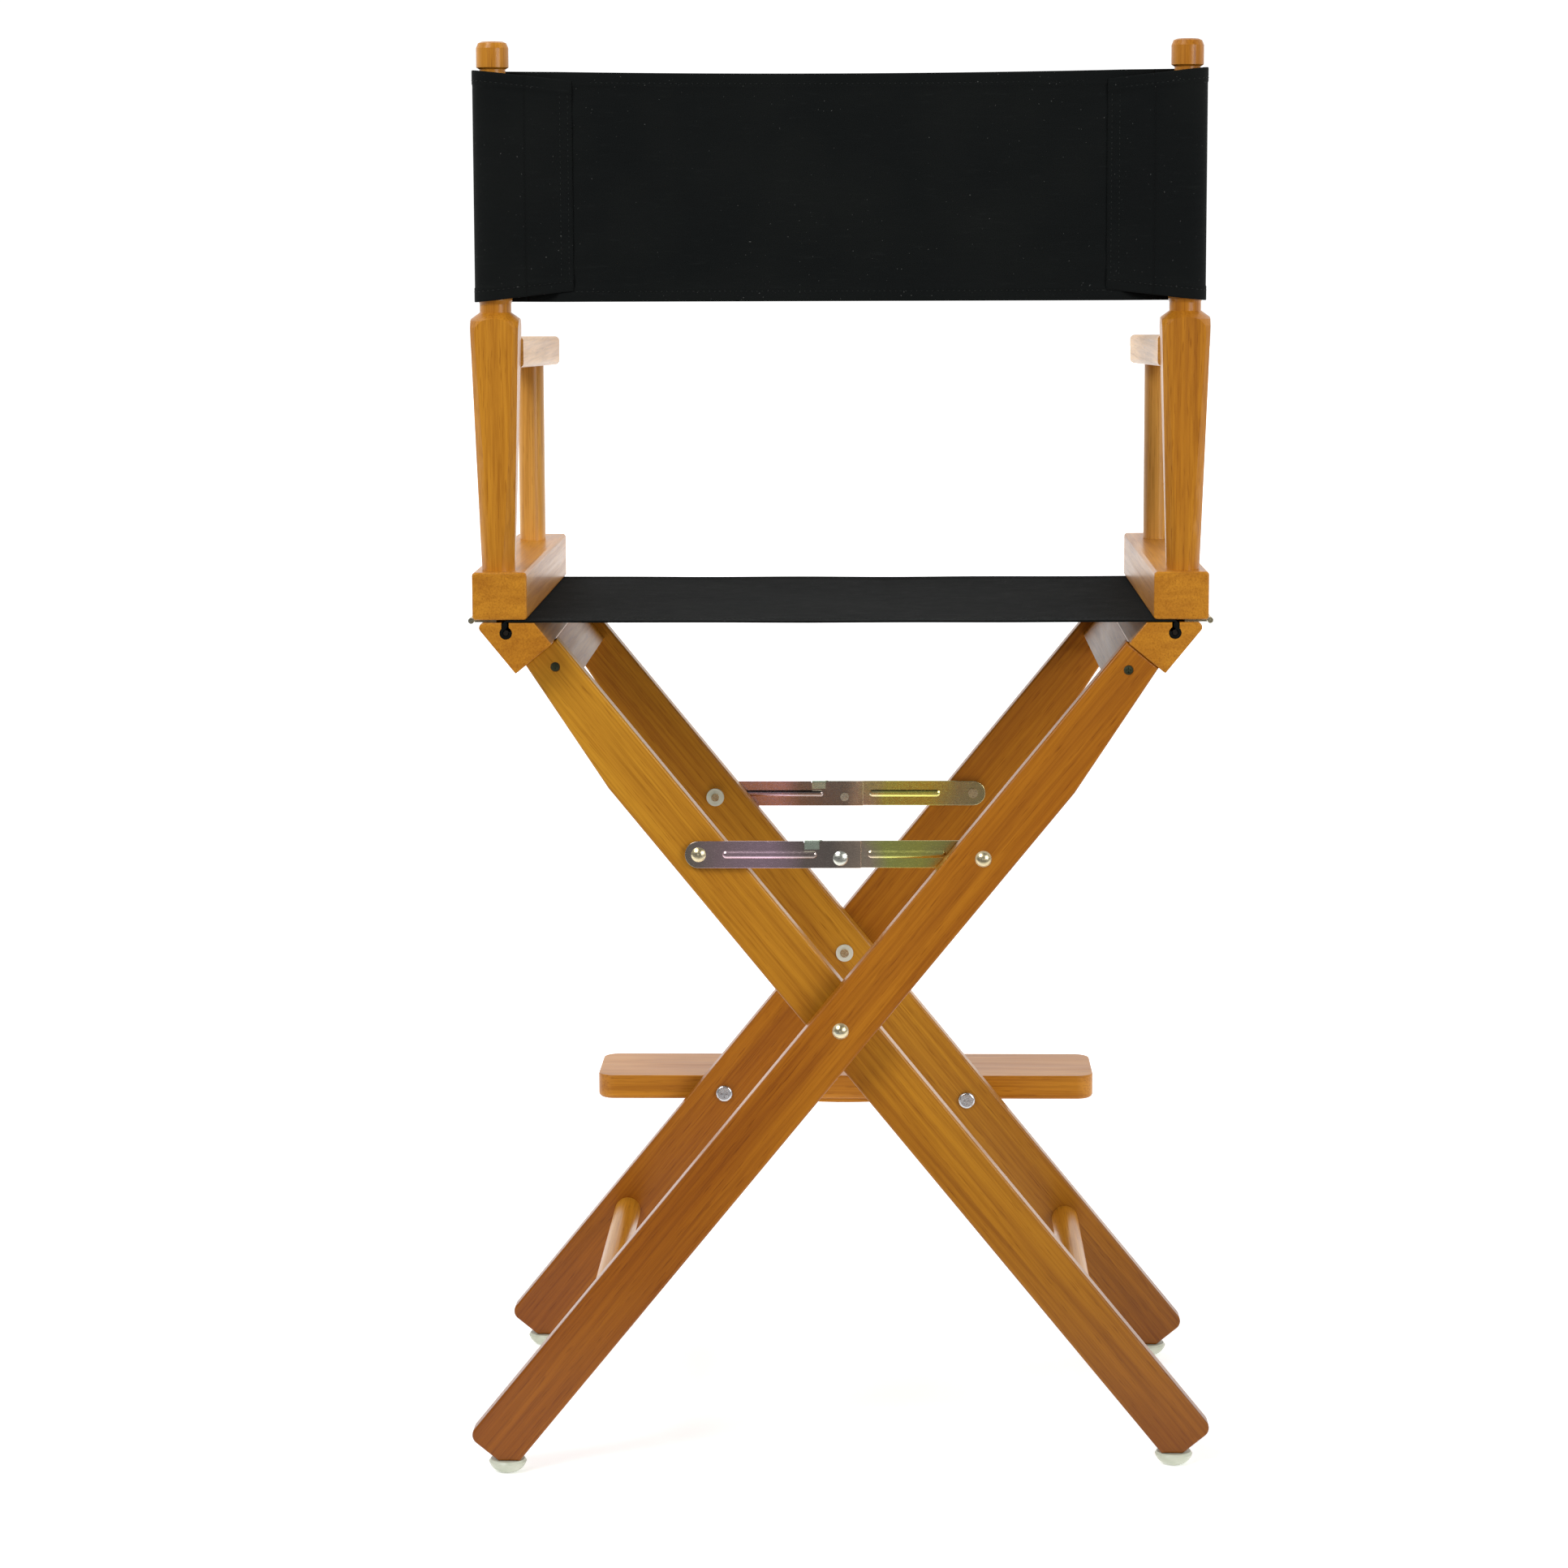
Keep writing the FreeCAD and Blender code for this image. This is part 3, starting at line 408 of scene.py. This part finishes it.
# ---- cloth ----
def new_object(name, verts, faces, material):
    mesh = bpy.data.meshes.new(name)
    mesh.from_pydata(verts, [], faces)
    mesh.update()
    for polygon in mesh.polygons:
        polygon.use_smooth = True
    mesh.materials.append(material)
    made = bpy.data.objects.new(name, mesh)
    bpy.context.scene.collection.objects.link(made)
    return made


def shell(grid):
    """Vertices and faces of closed cloth from rows of (point, normal, half thickness)."""
    rows = len(grid)
    columns = len(grid[0])
    layers = []
    for side in (1, -1):
        layers += [point + normal * side * half for row in grid for point, normal, half in row]
    under = rows * columns
    faces = []
    for r in range(rows - 1):
        for c in range(columns - 1):
            a = r * columns + c
            quad = (a, a + 1, a + columns + 1, a + columns)
            faces.append(quad)
            faces.append(tuple(under + i for i in reversed(quad)))
    border = list(range(columns))
    border += [r * columns + columns - 1 for r in range(1, rows)]
    border += [(rows - 1) * columns + c for c in range(columns - 2, -1, -1)]
    border += [r * columns for r in range(rows - 2, 0, -1)]
    for a, b in zip(border, border[1:] + border[:1]):
        faces.append((a, a + under, b + under, b))
    return layers, faces


def joined(parts):
    """Several (vertices, faces) in one."""
    verts = []
    faces = []
    for part_verts, part_faces in parts:
        faces += [tuple(i + len(verts) for i in face) for face in part_faces]
        verts += part_verts
    return verts, faces


def smooth(value, low, high):
    t = min(max((value - low) / (high - low), 0.0), 1.0)
    return t * t * (3 - 2 * t)


def spaced(start, end, count):
    return [start + (end - start) * i / (count - 1) for i in range(count)]


def post_point(angle):
    """A point on the sleeve where it goes round the back post."""
    return Vector((POST_X + SLEEVE_R * math.cos(angle), POST_Y + SLEEVE_R * math.sin(angle), 0))


def leaning(seam, tangent):
    """Cloth from the seam to the point where it meets the post, as (point, normal) with +Y normals."""
    slope = (tangent - seam).normalized()
    leaning_normal = Vector((-slope.y, slope.x, 0))
    made = []
    for t in spaced(0.06, 1.0, 20):
        normal = Vector((0, 1, 0)).lerp(leaning_normal, smooth(t, 0.0, 0.25)).normalized()
        made.append((seam.lerp(tangent, t), normal))
    return made


def back_paths():
    """For x > 0, as (point, normal) lists: the sleeve, then the panel's rear and front layers."""
    reach = math.hypot(POST_X - SEAM_X, POST_Y - PANEL_Y)
    heading = math.atan2(PANEL_Y - POST_Y, SEAM_X - POST_X) % (2 * math.pi)
    spread = math.acos(SLEEVE_R / reach)
    arc = []
    for angle in spaced(heading - spread, heading + spread - 2 * math.pi, 26):
        arc.append((post_point(angle), Vector((math.cos(angle), math.sin(angle), 0))))
    lift = 2 * CLOTH_HALF + LAYER_GAP
    rear = leaning(Vector((SEAM_X, PANEL_Y + lift, 0)), arc[0][0])
    front = leaning(Vector((SEAM_X, PANEL_Y, 0)), arc[-1][0])
    cut = min(range(len(front)), key=lambda i: abs(front[i][0].x - SLEEVE_END_X))
    front_back_to_seam = [(point, -normal) for point, normal in reversed(front[cut:-1])]
    sleeve = rear[cut:-1] + arc + front_back_to_seam
    rear_x = spaced(FLAP_EDGE_X, SEAM_X, 6)
    front_x = spaced(0.0, SEAM_X, 56)
    flat_rear = [(Vector((x, PANEL_Y + lift, 0)), Vector((0, 1, 0))) for x in rear_x]
    flat_front = [(Vector((x, PANEL_Y, 0)), Vector((0, 1, 0))) for x in front_x]
    return sleeve, flat_rear + rear[: cut + 1], flat_front + front[: cut + 1]


def back_top(x):
    """The top edge of the back; it rises a little towards the posts."""
    return BACK_TOP + BACK_CORNER_RISE * (x / BACK_CORNER_X) ** 2


def flap_share(point):
    """How far a point of the rear layer is from the sleeve's outermost line towards the flap edge."""
    if point.y < PANEL_Y + CLOTH_HALF:
        return 0.0
    outermost = POST_X + SLEEVE_R
    return (outermost - point.x) / (outermost - FLAP_EDGE_X)


def back_height(x, share):
    """Bottom and top of the cloth at x; the returned flap narrows towards its free edge."""
    return BACK_BOTTOM + FLAP_BOTTOM_RISE * share, back_top(x) - FLAP_TOP_DROP * share


def back_levels():
    """Shares of the height, closer together at the two hems."""
    height = BACK_TOP - BACK_BOTTOM
    steps = [0.0, 0.0006, 0.0018, HEM_STITCH - 0.001, HEM_STITCH, HEM_STITCH + 0.001]
    steps += [BACK_HEM - 0.0004, BACK_HEM + 0.0004]
    low = [step / height for step in steps]
    return low + spaced(0.085, 0.915, 30) + [1 - share for share in reversed(low)]


def hemmed_half(edge, hem, seam, extra, dent, rounding):
    """Half the thickness at a distance from the edge: thicker in the hem, thinner at seam and edge."""
    half = CLOTH_HALF
    if edge < hem:
        half += extra
    if abs(edge - seam) < ON_SEAM:
        half -= dent
    if edge < AT_EDGE:
        half -= rounding
    return half


def back_half(level):
    """Half the back cloth's thickness at a share of its height."""
    edge = min(level, 1 - level) * (BACK_TOP - BACK_BOTTOM)
    return hemmed_half(edge, BACK_HEM, HEM_STITCH, HEM_EXTRA, BACK_DENT, BACK_ROUNDING)


def ripple(x, level):
    """The slight unevenness of stretched cloth, in metres, square to it."""
    pull = math.exp(-(((abs(x) - PUCKER_X) / PUCKER_REACH) ** 2))
    pucker = 0.00045 * pull * math.sin(level * 41 + 2.0 * math.sin(x * 60))
    wave = 0.00050 * math.sin(x * 15.0 + 1.1) * math.sin(level * 5.1 + 0.4)
    crease = -0.0005 * math.exp(-((x / 0.0035) ** 2))
    return (pucker + wave + crease) * smooth(SLEEVE_END_X - abs(x), 0.0, 0.020)


def back_grid(path, mirrored, wavy):
    """Rows of (point, normal, half thickness) for a stretch of the back canvas."""
    sign = -1 if mirrored else 1
    grid = []
    for level in back_levels():
        row = []
        for point, normal in path:
            x = sign * point.x
            n = Vector((sign * normal.x, normal.y, 0))
            bottom, top = back_height(x, flap_share(point))
            z = bottom + level * (top - bottom)
            offset = ripple(x, level) if wavy else 0.0
            row.append((Vector((x, point.y, z)) + n * offset, n, back_half(level)))
        grid.append(row)
    return grid


def stitch(at, along, normal):
    """One thread of a seam: a slim lozenge lying on the cloth."""
    side = along.cross(normal).normalized() * THREAD_HALF
    up = normal * THREAD_HALF
    reach = along.normalized() * STITCH_LENGTH / 2
    verts = [at - reach, at + side, at + up, at - side, at - up, at + reach]
    faces = [(0, 2, 1), (0, 3, 2), (0, 4, 3), (0, 1, 4), (5, 1, 2), (5, 2, 3), (5, 3, 4), (5, 4, 1)]
    return verts, faces


def row_of_stitches(line):
    """Stitches along a line of (point, normal), evenly spaced."""
    made = []
    carried = STITCH_PITCH / 2
    for (start, n0), (end, n1) in zip(line, line[1:]):
        length = (end - start).length
        while carried <= length:
            share = carried / length
            made.append(stitch(start.lerp(end, share), end - start, n0.lerp(n1, share).normalized()))
            carried += STITCH_PITCH
        carried -= length
    return made


def hem_lines(path, mirrored, faces_out):
    """The two hem seams over a stretch of cloth, on its outer or its inner face."""
    sign = -1 if mirrored else 1
    lines = []
    for from_top in (False, True):
        line = []
        for point, normal in path:
            x = sign * point.x
            n = Vector((sign * normal.x, normal.y, 0)) * faces_out
            bottom, top = back_height(x, flap_share(point))
            z = top - HEM_STITCH if from_top else bottom + HEM_STITCH
            line.append((Vector((x, point.y, z)) + n * (CLOTH_HALF + HEM_EXTRA), n))
        lines.append(line)
    return lines


def flap_seams(mirrored):
    """The two upright rows of stitches that hold a flap, on both faces of the cloth."""
    sign = -1 if mirrored else 1
    made = []
    for column in STITCH_COLUMNS:
        x = sign * column
        for out, y in ((1, PANEL_Y + 3 * CLOTH_HALF + LAYER_GAP), (-1, PANEL_Y - CLOTH_HALF)):
            bottom, top = back_height(x, flap_share(Vector((column, y, 0))))
            line = []
            for level in spaced(0.02, 0.98, 60):
                z = bottom + level * (top - bottom)
                line.append((Vector((x, y + ripple(x, level), z)), Vector((0, out, 0))))
            made += row_of_stitches(line)
    return made


def make_back():
    around, flap, front = back_paths()
    weave = canvas("black_canvas_back", 0, 2, 0.05)
    sewing = thread("black_thread")
    panel_parts = []
    seams = []
    full_front = [(Vector((-p.x, p.y, 0)), Vector((-n.x, n.y, 0))) for p, n in reversed(front[1:])] + front
    panel_parts.append(shell(back_grid(full_front, False, True)))
    for mirrored in (False, True):
        panel_parts.append(shell(back_grid(flap, mirrored, True)))
        seams += flap_seams(mirrored)
        for line in hem_lines(flap, mirrored, 1):
            seams += row_of_stitches(line)
    inner = [(p, n) for p, n in full_front if abs(p.x) < FLAP_EDGE_X]
    for line in hem_lines(inner, False, 1) + hem_lines(full_front, False, -1):
        seams += row_of_stitches(line)
    panel = new_object("back_panel", *joined(panel_parts), weave)
    stitching = new_object("back_stitching", *joined(seams), sewing)
    for piece in (panel, stitching):
        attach(piece, "arm_right")
        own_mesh(piece)
    for mirrored, body in ((False, "arm_left"), (True, "arm_right")):
        sleeve = new_object(body + "_sleeve", *shell(back_grid(around, mirrored, False)), weave)
        hem_seams = [part for line in hem_lines(around, mirrored, 1) for part in row_of_stitches(line)]
        sewn = new_object(body + "_sleeve_stitching", *joined(hem_seams), sewing)
        for piece in (sleeve, sewn):
            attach(piece, body)
    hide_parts("back_canvas")


def seat_path():
    """The seat canvas from one rod loop over the rails to the other, as (point, normal) in X and Z."""
    half = []
    for angle in spaced(math.radians(-200), math.radians(55), 16):
        out = Vector((math.cos(angle), 0, math.sin(angle)))
        half.append((Vector((KEYHOLE_X, 0, KEYHOLE_Z)) + out * ROD_LOOP_R, out))
    climb_x = KEYHOLE_X + 0.0009
    half.append((Vector((climb_x, 0, KEYHOLE_Z + 0.0050)), Vector((1, 0, 0))))
    half.append((Vector((climb_x, 0, SEAT_Z - 0.0020)), Vector((1, 0, 0))))
    half.append((Vector((climb_x - 0.0006, 0, SEAT_Z - 0.0006)), Vector((0.7, 0, 0.7)).normalized()))
    half.append((Vector((climb_x - 0.0020, 0, SEAT_Z)), Vector((0, 0, 1))))
    for x in spaced(SEAT_EDGE_X, 0.0, 46):
        sag = SEAT_SAG * (1 - (x / SEAT_FREE_X) ** 2) if x < SEAT_FREE_X else 0.0
        half.append((Vector((x, 0, SEAT_Z - sag)), Vector((0, 0, 1))))
    other = [(Vector((-p.x, 0, p.z)), Vector((-n.x, 0, n.z))) for p, n in reversed(half[:-1])]
    return half + other


def seat_hook_half(point):
    """Half thickness of the doubled cloth round the rod and up the slot, or None on the seat itself."""
    if point.z > SEAT_Z - 0.0010:
        return None
    return CLIMB_HALF if point.z > KEYHOLE_Z + 0.0045 else HOOK_HALF


def make_seat():
    edges = [0.0, 0.0006, 0.0020, 0.0160, SEAT_STITCH, 0.0176]
    edges += [SEAT_HEM - 0.0004, SEAT_HEM + 0.0004, 0.024]
    depth = SEAT_REAR_Y - SEAT_FRONT_Y
    levels = edges + spaced(0.032, depth - 0.032, 34) + [depth - step for step in reversed(edges)]
    grid = []
    for level in levels:
        edge = min(level, depth - level)
        flat_half = hemmed_half(edge, SEAT_HEM, SEAT_STITCH, SEAT_HEM_EXTRA, SEAT_DENT, SEAT_ROUNDING)
        row = []
        for point, normal in seat_path():
            middle = max(0.0, 1 - (abs(point.x) / SEAT_FREE_X) ** 2)
            dip = SEAT_DIP * middle * smooth(edge, 0.0, SEAT_DIP_REACH)
            wave = 0.0004 * middle * math.sin(point.x * 37 + level * 9) * math.sin(level * 21 + 0.6)
            at = Vector((point.x, SEAT_FRONT_Y + level, point.z - dip + wave))
            row.append((at, normal, seat_hook_half(point) or flat_half))
        grid.append(row)
    seat = new_object("seat_cloth", *shell(grid), canvas("black_canvas_seat", 0, 1, 0.02))
    seams = []
    for edge in (SEAT_STITCH, depth - SEAT_STITCH):
        line = []
        for point, normal in seat_path():
            if abs(point.x) < SEAT_SEAM_X and normal.z > 0.9:
                half = CLOTH_HALF + 0.0001
                line.append((Vector((point.x, SEAT_FRONT_Y + edge, point.z)) + normal * half, normal))
        seams += row_of_stitches(line)
    sewn = new_object("seat_stitching", *joined(seams), thread("black_seat_thread"))
    for piece in (seat, sewn):
        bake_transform(piece)
    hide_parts("seat_canvas")


# ---- stage ----
def make_floor():
    """A white floor that darkens behind the camera, so lacquer and plating don't mirror it."""
    bpy.ops.mesh.primitive_plane_add(size=FLOOR_SIZE, location=(0, 0, 0))
    floor = bpy.context.object
    floor.name = "studio_floor"
    s = Shader("pale_floor")
    far, near = FLOOR_FADE
    back = s.math("MULTIPLY", s.math("SUBTRACT", s.axes(s.place)["Y"], far), 1 / (near - far))
    s.drive("Base Color", s.ramp(back, [(0.85, 0.92), (1.0, 0.16)]))
    s.drive("Emission Color", s.ramp(back, [(0.0, 1.0), (0.55, 0.45), (0.85, 0.40), (1.0, 0.0)]))
    s.fix(Emission_Strength=FLOOR_GLOW, Roughness=0.9, Specular_IOR_Level=0.05)
    floor.data.materials.append(s.material)


def make_world():
    """White ahead of the camera and overhead, dark behind it, as in a light tent with one open side."""
    world = bpy.data.worlds.new("studio_world")
    bpy.context.scene.world = world
    world.use_nodes = True
    tree = world.node_tree
    coords = tree.nodes.new("ShaderNodeTexCoord")
    split = tree.nodes.new("ShaderNodeSeparateXYZ")
    shade = tree.nodes.new("ShaderNodeMapRange")
    shade.interpolation_type = "SMOOTHSTEP"
    for socket, pair in (("From", WORLD_FADE), ("To", WORLD_STRENGTH)):
        for end, value in zip((" Min", " Max"), pair):
            shade.inputs[socket + end].default_value = value
    tree.links.new(coords.outputs["Generated"], split.inputs["Vector"])
    tree.links.new(split.outputs["Y"], shade.inputs["Value"])
    tree.links.new(shade.outputs["Result"], tree.nodes["Background"].inputs["Strength"])
    tree.nodes["Background"].inputs["Color"].default_value = (1, 1, 1, 1)


def area_light(name, place, power):
    light = bpy.data.lights.new(name, "AREA")
    light.shape = "RECTANGLE"
    light.size = LIGHT_SIZE
    light.size_y = LIGHT_SIZE
    light.energy = power
    holder = bpy.data.objects.new(name, light)
    holder.location = place
    holder.rotation_euler = (Vector(LIGHT_AIM) - Vector(place)).to_track_quat("-Z", "Y").to_euler()
    bpy.context.scene.collection.objects.link(holder)


def make_camera():
    forward = Vector(
        (
            math.sin(CAMERA_YAW) * math.cos(CAMERA_PITCH),
            -math.cos(CAMERA_YAW) * math.cos(CAMERA_PITCH),
            -math.sin(CAMERA_PITCH),
        )
    )
    level_right = forward.cross(Vector((0, 0, 1))).normalized()
    level_up = level_right.cross(forward)
    right = level_right * math.cos(CAMERA_ROLL) + level_up * math.sin(CAMERA_ROLL)
    up = right.cross(forward)
    camera = bpy.data.objects.new("photo_camera", bpy.data.cameras.new("photo_camera"))
    camera.data.lens = CAMERA_LENS
    camera.data.sensor_width = SENSOR_WIDTH
    turn = Matrix((right, up, -forward)).transposed().to_4x4()
    camera.matrix_world = Matrix.Translation(CAMERA_PLACE) @ turn
    bpy.context.scene.collection.objects.link(camera)
    bpy.context.scene.camera = camera


make_camera()
make_world()
make_floor()
for light_name, (light_place, light_power) in LIGHTS.items():
    area_light(light_name, light_place, light_power)
paint_wood()
paint_hardware()
make_back()
make_seat()
bpy.context.scene.view_settings.view_transform = "Standard"

bpy.context.view_layer.update()
